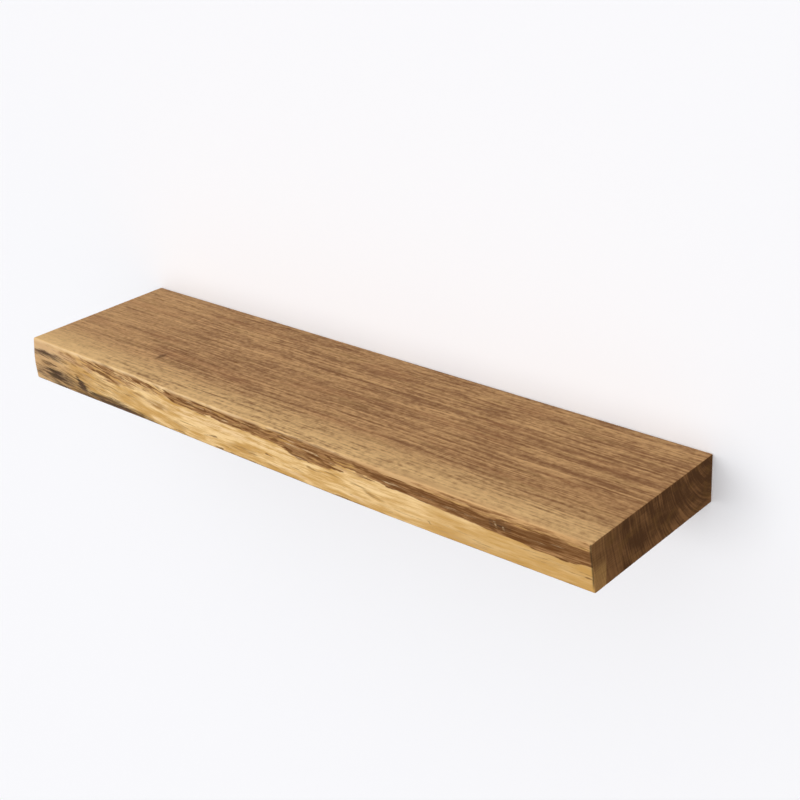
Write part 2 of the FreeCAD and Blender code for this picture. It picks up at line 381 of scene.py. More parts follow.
def heartwood(finish, grain, colours):
    """Colour and pores of the sawn faces that run with the grain."""
    x, y, z = grain["x"], grain["y"], grain["z"]
    weights = {"broad": 1.1, "bands": 1.05, "streaks": 0.8, "lines": 1.15, "mottle": 1.2}
    figure = varied(0.0, *((grain[name], weight) for name, weight in weights.items())) - grain["early"] * 0.10
    to_left = finish.smooth(x, -130.0, -280.0)
    tone = 0.49 + figure * (1 - to_left * 0.35) + to_left * 0.20
    for from_wall, left, right, half_width, strength in GROWTH_LINES:
        place = math.hypot(PITH_Y + from_wall, PITH_Z - BOARD_HIGH.z / MM)
        across = finish.smooth(abs(grain["radius"] - place), half_width + 0.5, 0.0)
        along = finish.smooth(x, left - 10, left + 10) * finish.smooth(x, right + 10, right - 10)
        tone = tone + across * along * (0.55 * strength)
    rosy = finish.cloud(x / 90, y / 12, z / 12, detail=2.0)
    olive = finish.cloud(x / 60, y / 7, 4.0, detail=3.0)
    gold = finish.smooth(varied(y, (grain["broad"], 30), (grain["streaks"], 16)), -104.0, -143.0)
    from_bruise = abs(x - BRUISE_X) / 4.5 + abs(y - BRUISE_Y) / 9
    bruise = finish.smooth(from_bruise, 1.1, 0.3) * finish.smooth(z, 17.0, 18.5)
    # Painted shade: the last few millimetres before the back edge, where the board meets the wall, darken towards the
    # pores' colour
    painted_wall_shade = finish.smooth(y, -4.0, -0.8)
    pores = finish.smooth(grain["fibres"], 0.54, 0.70) * (0.45 + 0.55 * grain["early"])
    wood = finish.layers(
        finish.mix(finish.smooth(tone, -0.2, 1.2), colours.heart_dark, colours.heart_light),
        (finish.smooth(rosy, 0.5, 0.75) * 0.3, colours.heart_rose),
        (gold * finish.smooth(tone, -0.5, 0.9), colours.edge_gold),
        (finish.smooth(olive, 0.52, 0.72) * 0.25, colours.heart_olive),
        (bruise * 0.75, colours.pore_and_wall_shade),
        # painted shade along the back edge
        (painted_wall_shade * 0.16, colours.pore_and_wall_shade),
        (pores * (0.45 - gold * 0.31), colours.pore_and_wall_shade),
    )
    return wood, pores


def end_grain(finish, grain, colours):
    """Colour of the sawn ends: rings and rays seen end on."""
    y, z, radius, arc = grain["y"], grain["z"], grain["radius"], grain["arc"]
    rings = finish.cloud(radius / 1.5, arc / 40, 0.0, detail=2.0)
    rays = finish.cloud(radius / 16, arc / 0.9, 0.0, detail=2.0)
    patches = finish.cloud(radius / 12, arc / 16, 5.0, detail=3.0)
    olive = finish.cloud(y / 13, z / 9, 2.0, detail=2.0)
    outer = finish.smooth(varied(y, (rays, 3)), -108.5, -112.5)
    contrast = 1 - outer * 0.5
    bright_ring = finish.smooth(abs(radius - BRIGHT_RING), 2.2, 0.0) * finish.smooth(z, -1.0, -7.0)
    tone = (
        0.3
        + (rings - 0.5) * 1.8 * contrast
        + (rays - 0.5) * 0.6
        + (patches - 0.5) * 1.5 * contrast
        - grain["early"] * 0.15
        + outer * 0.3
        + finish.smooth(z, 0.0, -18.0) * 0.3
        + bright_ring * 0.9
    )
    low = finish.smooth(varied(z, (rings, 4)), 5.0, -6.0)
    sap = finish.smooth(varied(y, (rings, 1.5)), SAPWOOD + 0.5, SAPWOOD - 0.5) * (0.14 + 0.86 * low)
    return finish.layers(
        finish.mix(finish.smooth(tone, 0.0, 1.1), colours.end_dark, colours.end_light),
        (finish.smooth(olive, 0.5, 0.7) * 0.45, colours.end_olive),
        (sap * varied(0.52, (rays, 0.6), (rings, 0.7)), colours.end_sap),
    )


def live_edge(finish, grain, colours):
    """Colour and fibres of the wood that lay under the bark."""
    x = grain["x"]
    past_slant = SLANT_START - x
    z = grain["z"] - finish.math("MAXIMUM", past_slant, 0.0) * SLANT
    long_streaks = finish.cloud(x / 38, z / 3.2, 0.0, detail=3.0, roughness=0.6)
    streaks = finish.cloud(x / 17, z / 1.3, 6.0, detail=3.0, roughness=0.6)
    fine_streaks = finish.cloud(x / 9, z / 0.45, 0.0, detail=2.0, roughness=0.6)
    bast_streaks = finish.cloud(x / 26, z / 1.5, 8.0, detail=3.0, roughness=0.6)
    patches = finish.cloud(x / 42, z / 9, 3.0, detail=2.0)
    tone = varied(0.0, (patches, 2.0), (long_streaks, 2.0), (streaks, 1.3), (fine_streaks, 1.0))
    tone = tone * (2.2 - finish.smooth(x, 110.0, 190.0) * 1.15) - finish.smooth(grain["z"], -11.0, -18.0) * 0.4
    tone = tone - finish.smooth(x, 130.0, 260.0) * 0.45
    above_band = finish.smooth(grain["z"], 12.5, 16.5) * finish.smooth(x, 10.0, 110.0)
    hairs = finish.smooth(varied(streaks, (fine_streaks, 0.8)), 0.60, 0.74)
    bast_tone = finish.smooth(varied(bast_streaks, (fine_streaks, 0.6)), 0.24, 0.74)
    bast = finish.mix(bast_tone, colours.bast_dark, colours.bast_light)
    stains_and_painted_shade = finish.mix(finish.smooth(bast_streaks, 0.35, 0.65), colours.stains_and_painted_shade, colours.stain_plum)
    ragged = varied(0.0, (streaks, 4.5), (long_streaks, 2.5), (fine_streaks, 2.0))

    def broken(name, full=1.0, raggedness=2.4):
        """A mark, broken up into fibres where it is faint."""
        shown = finish.mark(name)
        return finish.smooth(shown + shown * (1 - shown) * ragged * raggedness, 0.08, full)

    wood = finish.layers(
        finish.mix(finish.smooth(tone, 1.0, -1.0), colours.gold_light, colours.gold_dark),
        (finish.smooth(x, -205.0, -290.0) * 0.6, colours.blush),
        (above_band * 0.8, colours.shoulder),
        (hairs * 0.3, colours.streak),
        (broken("blush", raggedness=1.6) * 0.85, colours.blush),
        (broken("streak") * 0.85, colours.streak),
        (broken("bast", full=0.8), bast),
        (broken("fibre", full=0.8) * 0.72, colours.bast_dark),
        # stains, and the painted shade line along the bottom arris
        (broken("stains_and_painted_shade", raggedness=1.3) * 0.98, stains_and_painted_shade),
        (broken("pale") * 0.8, colours.pale),
    )
    return wood, fine_streaks


def oak_finish(colours):
    """Oiled oak: sawn faces, sawn ends and live edge in one finish."""
    finish = Finish("oiled_oak", {"Specular IOR Level": 0.06})
    grain = wood_grain(finish)
    x, y, z = grain["x"], grain["y"], grain["z"]
    faces, pores = heartwood(finish, grain, colours)
    edge, fibres = live_edge(finish, grain, colours)
    on_edge = finish.mark("live")
    at_end = finish.smooth(abs(x), BOARD_HIGH.x / MM - 0.5, BOARD_HIGH.x / MM - 0.1)
    brow = finish.smooth(y, -139.0, -144.0) * finish.smooth(x, 90.0, 160.0)
    # darker along the live edge over its last two millimetres before the right end, fading out towards the underside
    corner = finish.smooth(x, 297.8, 299.2) * finish.smooth(z, -19.0, -10.0)
    colour = finish.layers(
        faces,
        (brow * 0.5, colours.shoulder),
        (on_edge, edge),
        # pale worn wood and a painted highlight along the top arris
        (finish.mark("arris") * 0.85, colours.pale),
        (corner * on_edge * 0.8, colours.stains_and_painted_shade),
        (at_end, end_grain(finish, grain, colours)),
    )
    roughness = 0.52 + pores * 0.25 + on_edge * 0.12 + at_end * 0.3
    height = (grain["lines"] - 0.5) * 0.10 - pores * 0.10 + (fibres - 0.5) * 0.35 * on_edge
    return finish.surface(colour, roughness, height)


def bare_oak_finish(colours):
    """Oak that the oil didn't reach, in the pockets and bores."""
    finish = Finish("bare_oak", {"Specular IOR Level": 0.1})
    grain = wood_grain(finish)
    tone = varied(0.5, (grain["streaks"], 1.2), (grain["lines"], 1.0)) - grain["early"] * 0.3
    colour = finish.mix(finish.smooth(tone, 0.0, 1.0), colours.heart_light, colours.raw)
    return finish.surface(colour, 0.8 + grain["lines"] * 0.1, (grain["fibres"] - 0.5) * 0.15)


def zinc_finish(colours):
    """Zinc plating, with rolling marks along the plate and a dull bloom."""
    finish = Finish("zinc_plated_steel", {"Metallic": 1.0})
    x, y, z = finish.place()
    rolled = finish.cloud(x / 30, y / 2, z / 0.25, detail=3.0)
    bloom = finish.cloud(x / 9, y / 9, z / 6, detail=4.0, roughness=0.6)
    dull = finish.smooth(varied(bloom, (rolled, 0.4)), 0.3, 0.8)
    colour = finish.mix(dull, colours.zinc, colours.zinc_bloom)
    return finish.surface(colour, 0.34 + rolled * 0.12 + bloom * 0.06, (rolled - 0.5) * 0.02)


def bright_steel_finish(colours):
    """Cold-drawn bar, with draw lines along it and turned rings at its tip."""
    finish = Finish("bright_steel", {"Metallic": 1.0})
    x, y, z = finish.place()
    drawn = finish.cloud(x / 0.35, y / 60, z / 0.35, detail=2.0)
    rubbed = finish.cloud(x / 3, y / 14, z / 3, detail=3.0, roughness=0.6)
    rings = finish.cloud(0.0, y / 0.15, 0.0, detail=1.0) * finish.smooth(y, -112.3, -112.6)
    scored = finish.smooth(varied(rubbed, (drawn, 0.5)), 0.5, 0.8)
    colour = finish.mix(scored, colours.steel, colours.steel_scored)
    return finish.surface(colour, 0.26 + scored * 0.1 + drawn * 0.08, (drawn - 0.5) * 0.03 + rings * 0.05)


def yellow_zinc_finish(colours):
    """Yellow passivated zinc, with the pink and green bloom of a thin film."""
    finish = Finish("yellow_zinc_screw", {"Metallic": 1.0})
    x, y, z = finish.place()
    film = finish.cloud(x / 2.5, y / 2.5, z / 2.5, detail=3.0)
    pitted = finish.cloud(x / 0.3, y / 0.3, z / 0.3)
    colour = finish.mix(finish.smooth(film, 0.35, 0.7), colours.yellow_zinc, colours.yellow_zinc_blush)
    return finish.surface(colour, 0.27 + film * 0.15, (pitted - 0.5) * 0.02)


def nylon_finish(colours):
    """Moulded nylon, a little waxy, with fine spark texture."""
    finish = Finish("grey_nylon", {"Specular IOR Level": 0.45})
    x, y, z = finish.place()
    flow = finish.cloud(x / 5, y / 12, z / 5, detail=2.0)
    spark = finish.cloud(x / 0.25, y / 0.25, z / 0.25, detail=2.0)
    darker = [level * 0.8 for level in colours.nylon[:3]] + [1.0]
    colour = finish.mix(finish.smooth(flow, 0.3, 0.8), colours.nylon, darker)
    return finish.surface(colour, 0.42 + spark * 0.16, (spark - 0.5) * 0.03)


# ---------------------------------------------------------------- marks of the live edge

# The band of inner bark that stayed on the wood, in millimetres: (along the board, lower edge, upper edge),
# with heights from the underside of the board
BAST_BAND = (
    (-118, 33.5, 36), (-112, 30.3, 38), (-104, 27.8, 38.2), (-85, 27.8, 38), (-66, 26.4, 38), (-56, 28, 38),
    (-46, 27, 36.8), (-30, 26.8, 35.2), (-10, 26, 34.6), (6, 26.2, 36.6), (18, 25.4, 38.4), (25, 24.2, 38.4),
    (31, 22, 38.2), (42, 19.8, 38.8), (56, 20.2, 39), (66, 20.6, 39), (75, 22, 38.4), (79, 27.2, 38.2),
    (96, 27.6, 37.6), (112, 27, 36.6), (124, 26.2, 35.6), (132, 24.8, 35), (150, 24.6, 34.4), (166, 24, 34.2),
    (182, 22.8, 34.2), (196, 22.2, 34.2), (208, 21.8, 33.4), (220, 20.4, 33), (232, 19.8, 34.4), (246, 19.6, 33.2),
    (254, 18.2, 33.6), (270, 17.6, 34), (284, 17.8, 33.2), (292, 19.2, 33), (304, 19.8, 33),
)

# Single marks, in the same millimetres: (x, z) of the left end, (x, z) of the right end, half width, strength
MARKS = {
    # thinner remains of the inner bark
    "bast": (
        (-268, 31, -100, 33, 5.5, 0.5), (-240, 32, -150, 33, 5, 0.56), (-205, 25, -165, 27.5, 3, 0.4),
        (-54, 36.6, 14, 35.8, 2.2, 0.75), (-160, 36.8, -116, 36.6, 2, 0.5), (80, 26.6, 124, 26, 1.4, 0.4),
        (160, 36, 310, 34.6, 3.4, 0.55), (-224, 31, -206, 30.4, 1.6, 0.7), (-212, 36.8, -190, 33.6, 2.4, 0.8),
        (-202, 37.4, -181, 36.2, 1.6, 0.9), (-192, 33.6, -177, 31.6, 2, 0.7), (-183, 30.6, -172, 29.6, 1.2, 0.6),
        (-162, 36.2, -145, 33, 2.4, 0.9), (-150, 35.2, -122, 33.4, 1.5, 0.9), (-158, 30.4, -138, 28.8, 1.6, 0.55),
        (70, 24.4, 84, 23.8, 1, 1), (69, 21.8, 74, 21.6, 0.7, 0.9), (72, 27.6, 82, 27.2, 1, 0.8),
    ),
    # deep dark fibres, most of them in the inner bark
    "fibre": (
        (104, 31, 232, 29, 3.6, 0.54), (190, 27, 316, 27, 5.4, 0.66), (-210, 29.2, -186, 26.6, 1.3, 1),
        (-143, 35.9, -121, 33.2, 0.7, 0.9), (-148, 28.9, -139, 28.5, 0.6, 0.6), (-210, 36.6, -203, 35, 0.8, 0.6),
        (-155, 34.4, -146, 33, 1.2, 0.6), (-115, 35.6, -106, 33.8, 1.2, 0.8), (-108, 31, -100, 29, 1.2, 0.6),
        (-98, 33.6, -83, 30.6, 0.9, 1), (-85, 31.8, -60, 30.6, 0.7, 1), (-78, 35.8, -54, 35, 0.9, 0.8),
        (-63, 34.4, -61, 31, 0.7, 0.6), (-88, 28.6, -65, 27, 0.7, 0.7), (-56, 35.4, -45, 34.4, 0.9, 0.6),
        (-55, 32, -35, 30.4, 0.8, 0.9), (-41, 34, -19, 32.8, 0.6, 1), (-20, 33.2, 6, 32, 0.8, 1),
        (-33, 28.4, -4, 29.2, 1.3, 0.7), (4, 32.2, 18, 35.8, 1.1, 0.8), (12, 29, 21, 29.5, 1.2, 0.9),
        (20, 36.2, 36, 34.2, 1, 0.8), (21, 33.4, 31, 31, 0.9, 0.7), (24, 27, 36, 24.2, 1.2, 0.9),
        (28, 24.4, 35, 23.4, 1, 1), (37, 22.4, 52, 20.8, 1.2, 0.8), (38, 32, 62, 31.2, 0.8, 1),
        (50, 28.4, 63, 27.4, 0.9, 0.7), (59, 28.4, 69, 24.8, 2, 0.7), (54, 37, 73, 36.6, 0.9, 0.7),
        (40, 36.4, 50, 35.6, 0.8, 0.6), (48, 25, 62, 23.4, 0.8, 0.7), (71, 32.8, 81, 29.4, 1, 0.9),
        (70, 24.4, 83, 23.8, 0.7, 1), (86, 29.6, 100, 29, 0.6, 0.5), (98, 34.2, 107, 31.8, 1.2, 0.5),
        (100, 34.4, 116, 32.4, 0.7, 0.8), (111, 32.6, 126, 30, 0.9, 0.8), (114, 29.5, 127, 29.4, 1.1, 1),
        (127, 26.8, 137, 24.8, 0.5, 0.8), (129, 30.4, 142, 31.6, 0.5, 0.8), (131, 28.4, 151, 26.8, 1, 0.9),
        (142, 32.2, 162, 31.8, 0.8, 0.7), (150, 30.2, 157, 29.8, 0.9, 1), (155, 31.3, 184, 31.2, 1, 1),
        (155, 29.4, 186, 28.4, 0.8, 0.8), (180, 30.9, 201, 29.9, 1, 0.9), (184, 24.8, 200, 23.8, 1, 0.8),
        (174, 27.8, 222, 25.2, 0.9, 1), (186, 33, 200, 32, 1, 0.6), (196, 31.2, 218, 29.4, 1.6, 0.9),
        (218, 24.6, 227, 21.8, 1, 1), (225, 31, 233, 32.6, 0.8, 0.8), (222, 26.6, 228, 30.2, 0.8, 0.8),
        (227, 22.4, 247, 21.4, 1.2, 0.9), (234, 24, 241, 30.4, 0.9, 0.7), (242, 29.6, 274, 31, 1.9, 0.9),
        (248, 27.8, 272, 27.4, 1.1, 0.8), (253, 23.5, 267, 23.2, 0.9, 1), (270, 29.4, 292, 28.4, 1.8, 0.8),
        (271, 18.6, 287, 18.3, 0.8, 0.8), (274, 24.2, 292, 23.8, 1.3, 0.6), (251, 19.3, 255, 18.8, 0.7, 0.8),
        (290, 33, 300, 33.6, 0.8, 0.6), (294, 24, 301, 28.6, 1.4, 0.7), (-63, 9.4, -51, 10.8, 0.7, 0.9),
        (3, 13.8, 7, 13.4, 0.7, 0.9), (-52, 1.6, -47, 2.4, 0.7, 1), (-58, 2, -48, 1.6, 0.6, 0.8),
        (166.5, 8.8, 168.5, 6.4, 0.5, 0.6), (-51, 5.8, -37, 5, 0.5, 0.5), (-106, 2.4, -95, 2.5, 0.6, 0.7),
        (294, 10.6, 300, 10.6, 0.6, 0.6),
    ),
    # olive and orange brown streaks in the golden wood
    "streak": (
        (-276, 17, -148, 16, 9, 0.5), (-304, 16, -236, 12, 9, 0.5), (232, 13, 310, 15, 5, 0.3),
        (-40, 9.6, -4, 9.4, 3.2, 0.55), (110, 10, 250, 5, 5, 0.2), (-284, 36, -262, 35.4, 1, 0.45),
        (-262, 26.4, -246, 25.6, 1.2, 0.6), (-245, 27, -234, 25.2, 0.8, 0.8), (-228, 24.4, -219, 23.6, 0.8, 0.9),
        (-249, 23.2, -242, 22.4, 0.6, 0.5), (-240, 22, -235, 21.4, 0.6, 0.6), (-240, 18, -229, 16.8, 1.3, 1),
        (-196, 27, -172, 21, 2, 0.6), (-212, 20.8, -194, 18.8, 1, 0.6), (-219, 17.4, -211, 16.8, 0.7, 0.7),
        (-206, 17.6, -188, 16.2, 0.8, 0.6), (-196, 13.2, -172, 12.8, 1, 0.45), (-170, 26.2, -150, 25.8, 1.4, 0.5),
        (-182, 20.6, -171, 20, 2, 0.6), (-178, 17, -158, 16.4, 0.9, 0.5), (-159, 22.2, -134, 20.6, 1.2, 1),
        (-143, 20.6, -110, 18.8, 2.4, 0.85), (-134, 17.8, -117, 16.6, 2.2, 0.8), (-122, 19.6, -111, 18.8, 0.8, 0.6),
        (-100, 13, -83, 12.4, 0.6, 0.6), (-76, 12.8, -70, 12.2, 0.9, 0.35), (-33, 8.6, -7, 8, 0.8, 0.6),
        (-32, 11.6, -8, 10.8, 2.2, 0.5), (-45, 17.1, -41, 16.8, 0.6, 0.6), (-40, 19.2, -30, 19.2, 0.5, 0.35),
        (-9, 14.6, 4, 13.8, 0.4, 0.6), (6, 13.4, 13, 12.4, 0.5, 0.6), (2, 5.2, 18, 3.2, 1.4, 0.5),
        (25, 11, 41, 10, 0.6, 0.5), (48, 17, 58, 15.8, 0.9, 0.9), (56, 16, 66, 16.4, 0.7, 0.5),
        (68, 18, 83, 17.4, 0.9, 0.6), (93, 17, 112, 15.2, 1.3, 0.6), (106, 14.4, 127, 10.8, 1.4, 0.6),
        (83, 8.2, 91, 7.4, 0.5, 0.5), (84, 11.4, 88, 11, 0.6, 0.35), (-110, 10.4, -96, 11, 0.5, 0.4),
        (-152, 14, -140, 13.6, 0.9, 0.35), (-115, 9, -88, 7, 2.4, 0.3), (78, 1.4, 112, 1.4, 0.6, 0.7),
        (-36, 1.4, -24, 1.8, 0.5, 0.7), (120, 4, 150, 3.4, 1.2, 0.35), (-182, 8.6, -163, 8.8, 0.8, 0.6),
        (-115, 24, -104, 23.6, 0.5, 0.35), (236, 3, 244, 2.2, 0.8, 0.5), (-170, 31, -160, 28, 1.6, 0.4),
        (-258, 34.6, -240, 34.4, 1.2, 0.4),
    ),
    # weathered grey and black stains, most of them near the left end, and a painted shade line along the bottom arris
    "stains_and_painted_shade": (
        (-308, 9, -220, 8, 8, 0.66), (-312, 26.6, -246, 26, 3.2, 0.7), (-300, 16, -240, 15, 4, 0.35),
        (-262, 2.6, -136, 2, 3.6, 0.8), (-238, 14.5, -222, 4.5, 4, 0.95), (-262, 9, -214, 6, 7, 0.62),
        # painted shade: the first three rows here, 0.2 to 0.4 mm above the underside, darken the bottom arris along
        # the board
        (-310, 0.4, -80, 0.4, 1.1, 0.95), (-110, 0.3, 110, 0.3, 1, 0.7), (80, 0.2, 320, 0.2, 0.8, 0.5),
        (-301, 28.2, -268, 27.2, 1.4, 1), (-301, 25.2, -262, 25, 1.8, 0.65), (-272, 26.8, -250, 25.8, 0.8, 0.6),
        (-291, 19.6, -266, 18.6, 1.2, 0.65), (-268, 18.8, -252, 18.2, 0.8, 0.4), (-282, 12.4, -254, 12.8, 2.6, 1),
        (-292, 13.4, -256, 13.2, 1.8, 0.9), (-288, 9.4, -250, 8.8, 3, 0.95), (-257, 12.6, -240, 12.4, 1, 0.45),
        (-250, 9.6, -236, 9, 1.2, 0.3), (-238, 16.6, -226, 7.4, 1.9, 0.9), (-231, 9.4, -225, 8.8, 2.2, 1),
        (-292, 5, -240, 5, 1.6, 0.4), (-290, 1.4, -224, 1.8, 0.9, 0.75), (-246, 5, -222, 4.6, 1.6, 0.6),
        (-230, 5.4, -168, 6, 2.4, 0.85), (-216, 7.6, -196, 7.6, 0.9, 0.5), (-226, 3, -138, 2, 2.2, 1),
        (-176, 5.6, -138, 4.8, 1.3, 0.6), (-140, 1.4, -98, 1.4, 0.5, 0.6), (221, 26, 238, 28, 6, 0.38),
        (221, 33, 223, 22, 1.4, 0.5), (229, 33.5, 229.5, 21.5, 1.2, 0.45), (238, 31, 236, 22, 1.2, 0.4),
    ),
    # fresh pale wood and light fibres; the long row at height 38 along the top arris is pale worn wood and a painted
    # highlight
    "pale": (
        (-150, 21.5, 36, 20.5, 4, 0.5), (-80, 20.5, -30, 20, 3, 0.6), (88, 20, 130, 19.5, 2.5, 0.4),
        (-82, 33.6, -65, 32.8, 0.6, 0.5), (-58, 33.8, -49, 33.4, 0.5, 0.4), (-46, 29.4, -31, 28.9, 0.5, 0.45),
        (26, 30.2, 46, 29.2, 1, 0.35), (45, 30.2, 63, 29.8, 0.5, 0.45), (26, 33.4, 39, 32.8, 0.5, 0.4),
        (72, 26.6, 80, 27.4, 0.6, 0.4), (-110, 22, -40, 20, 4.5, 0.35), (124, 29.4, 154, 28.8, 0.9, 0.26),
        (148, 28.8, 182, 29.2, 0.8, 0.18), (178, 27.4, 208, 26.6, 1.1, 0.24), (224.5, 31.5, 226.5, 24, 1, 0.32),
        (231.5, 28.5, 233, 22, 0.9, 0.28), (234, 32.5, 235, 28, 0.8, 0.25), (248, 24.6, 270, 24.8, 1, 0.22),
        (262, 28.6, 292, 27, 1, 0.14), (-136, 5.4, -126, 5.6, 1, 0.5), (-120, 18, -108, 16, 1.6, 0.4),
        # the row from -238 to 66 at height 38 is pale worn wood and a painted highlight along the top arris
        (-45, 5, -38, 3.2, 0.5, 0.5), (-14, 16.6, -8, 14.6, 2, 0.3), (-238, 38.2, 66, 38, 0.8, 0.5),
        (-160, 21.4, -120, 24.6, 0.9, 0.3),
    ),
    # pinkish wood
    "blush": (
        (-314, 23, -254, 22, 17, 0.55), (-272, 31.5, -100, 32, 6.5, 0.5), (-268, 31.6, -232, 29.6, 2.6, 0.9),
        (-228, 27.2, -212, 26.2, 1.8, 0.9), (-282, 34.2, -250, 32.8, 1.8, 0.6), (-240, 37, -214, 36.6, 1.8, 0.6),
        (-200, 24.2, -170, 26.6, 2.4, 0.7), (-262, 22, -244, 16, 3, 0.6), (-230, 21, -214, 18.6, 2, 0.6),
        (-140, 32.4, -128, 31.6, 1.6, 0.6), (-45, 36.8, 8, 36, 1.4, 0.9), (-14, 34.8, 6, 34.4, 1, 0.6),
        (-146, 17, -110, 16, 2, 0.5), (-180, 38, -120, 37.8, 1.4, 0.6), (15, 6.6, 48, 5.2, 1.2, 0.5),
        (70, 26.2, 112, 24.8, 1.8, 0.5), (86, 7.4, 114, 5.4, 2.4, 0.35), (180, 36, 215, 35.4, 1.6, 0.5),
        (170, 4.6, 215, 4, 1.4, 0.4), (-290, 16.2, -262, 16, 1.4, 0.4),
    ),
}

# How soft the outlines of some kinds of mark are; the others have 1
SOFTNESS = {"stains_and_painted_shade": 1.8, "streak": 1.5, "blush": 1.8, "pale": 1.4}

# Checks in the live edge, deeper than its marks, given as the marks are
CRACKS = (
    (-237, 16.4, -226, 7.6, 0.9, 1), (-232, 8, -222, 3.4, 0.7, 0.8), (-208, 29, -188, 27, 0.5, 0.7),
    (-98, 33.4, -62, 30.8, 0.45, 0.7), (24, 26.8, 36, 24, 0.7, 0.7), (155, 31.3, 182, 31.2, 0.45, 0.7),
    (218, 24.4, 228, 21.8, 0.6, 0.8),
)


def smooth(value, low, high):
    """0 where the value is at low, 1 where it is at high, and smooth between."""
    share = np.clip((value - low) / (high - low), 0, 1)
    return share * share * (3 - 2 * share)


def wave(x, z, length, height, seed):
    """Noise from -1 to 1 at points given in millimetres, with blotches of about that length and height."""
    places = zip((x / length).tolist(), (z / height).tolist())
    return np.array([noise.noise((along, seed, up)) for along, up in places])


def single_marks(marks, x, z, ragged, softness=1.0):
    """How strongly spindle-shaped marks show at the points: 0 is not at all and 1 is fully."""
    shown = np.zeros_like(x)
    for x_left, z_left, x_right, z_right, half_width, strength in marks:
        length = math.hypot(x_right - x_left, z_right - z_left)
        run, rise = (x_right - x_left) / length, (z_right - z_left) / length
        from_x, from_z = x - (x_left + x_right) / 2, z - (z_left + z_right) / 2
        along = (from_x * run + from_z * rise) / (length / 2)
        aside = (from_z * run - from_x * rise) / half_width
        inside = (1 - np.hypot(along, aside)) * half_width + ragged
        soft = softness * (0.25 + 0.3 * half_width)
        shown = np.maximum(shown, strength * smooth(inside, -soft, soft))
    return shown


def bast_band(x, z, ragged):
    """How strongly the main band of inner bark shows. Its lower edge is crisp and its upper edge is soft."""
    places, lows, highs = (np.array(column, float) for column in zip(*BAST_BAND))
    right = smooth(x, 95, 140)
    above = z - np.interp(x, places, lows) + ragged * (1.6 - 0.9 * right)
    under = np.interp(x, places, highs) - z + ragged * 0.8
    started = smooth(x, places[0], places[0] + 5)
    whole = 0.76 + 0.22 * right
    return smooth(above / (1 + right), -0.25, 0.7) * smooth(under, -1.2, 1.6) * started * whole


def live_edge_marks(x, z):
    """The strength of each kind of mark at points of the live edge, with z up from the underside."""
    ragged = wave(x, z, 9, 1.1, 2.0) * 0.8 + wave(x, z, 3.5, 0.6, 9.0) * 0.35
    shifted = z + wave(x, z, 16, 6, 5.0) * 0.6
    marks = {}
    for name, rows in MARKS.items():
        marks[name] = single_marks(rows, x, shifted, ragged, SOFTNESS.get(name, 1.0))
    marks["bast"] = np.maximum(marks["bast"], bast_band(x, shifted, ragged))
    return marks


# ---------------------------------------------------------------- meshes

TOUCH = 1e-6                   # points this near to each other or to a plane are taken as touching
SLIVER = 1e-5                  # edges shorter than this are dissolved


def new_mesh(bm, name):
    """Turn a bmesh into a mesh and free it."""
    mesh = bpy.data.meshes.new(name)
    bm.to_mesh(mesh)
    bm.free()
    return mesh


def reopen(mesh):
    """Turn a mesh back into a bmesh and remove it."""
    bm = bmesh.new()
    bm.from_mesh(mesh)
    bpy.data.meshes.remove(mesh)
    return bm


def add_object(name, data):
    """Add an object to the scene."""
    added = bpy.data.objects.new(name, data)
    bpy.context.scene.collection.objects.link(added)
    return added


def add_piece(mesh, material, body, replaced):
    """Add a finished mesh as a piece of the same name that stands for a node of the frame."""
    piece = add_object(mesh.name, mesh)
    if not mesh.materials:
        mesh.materials.append(material)
    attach(piece, body)
    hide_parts(replaced)


def shade_by_angle(mesh, degrees=32):
    """Shade smooth, with a hard edge where faces meet at more than the angle, and return the mesh."""
    mesh.shade_smooth()
    mesh.set_sharp_from_angle(angle=math.radians(degrees))
    return mesh


def middle(low, high):
    """The X of the middle of a turned piece, and its radius, from its box."""
    return (low.x + high.x) / 2, (high.x - low.x) / 2


def bevel(bm, geometry, width, segments, affect="EDGES"):
    """Round off edges or corners."""
    bmesh.ops.bevel(
        bm, geom=geometry, offset=width, segments=segments, profile=0.5, affect=affect, material=-1
    )


def block(extent, place):
    """A closed block, as a bmesh, given the place of its middle."""
    bm = bmesh.new()
    bmesh.ops.create_cube(bm, size=1.0)
    bmesh.ops.scale(bm, vec=extent, verts=bm.verts[:])
    bmesh.ops.translate(bm, vec=place, verts=bm.verts[:])
    return bm


def close(bm):
    """Merge doubled points, dissolve slivers, fill holes and turn the faces outwards."""
    bmesh.ops.remove_doubles(bm, verts=bm.verts[:], dist=TOUCH)
    bmesh.ops.dissolve_degenerate(bm, dist=SLIVER, edges=bm.edges[:])
    open_edges = [edge for edge in bm.edges if edge.is_boundary]
    if open_edges:
        bmesh.ops.holes_fill(bm, edges=open_edges)
    bmesh.ops.recalc_face_normals(bm, faces=bm.faces[:])


def turned(profile, centre_x, steps):
    """A profile of (radius, y) points turned round a line along Y, as a closed bmesh."""
    bm = bmesh.new()
    points = [bm.verts.new((centre_x + radius, y, 0)) for radius, y in profile]
    edges = [bm.edges.new(pair) for pair in zip(points, points[1:])]
    bmesh.ops.spin(
        bm, geom=edges, cent=(centre_x, 0, 0), axis=(0, 1, 0), angle=math.tau, steps=steps, use_merge=True
    )
    close(bm)
    return bm


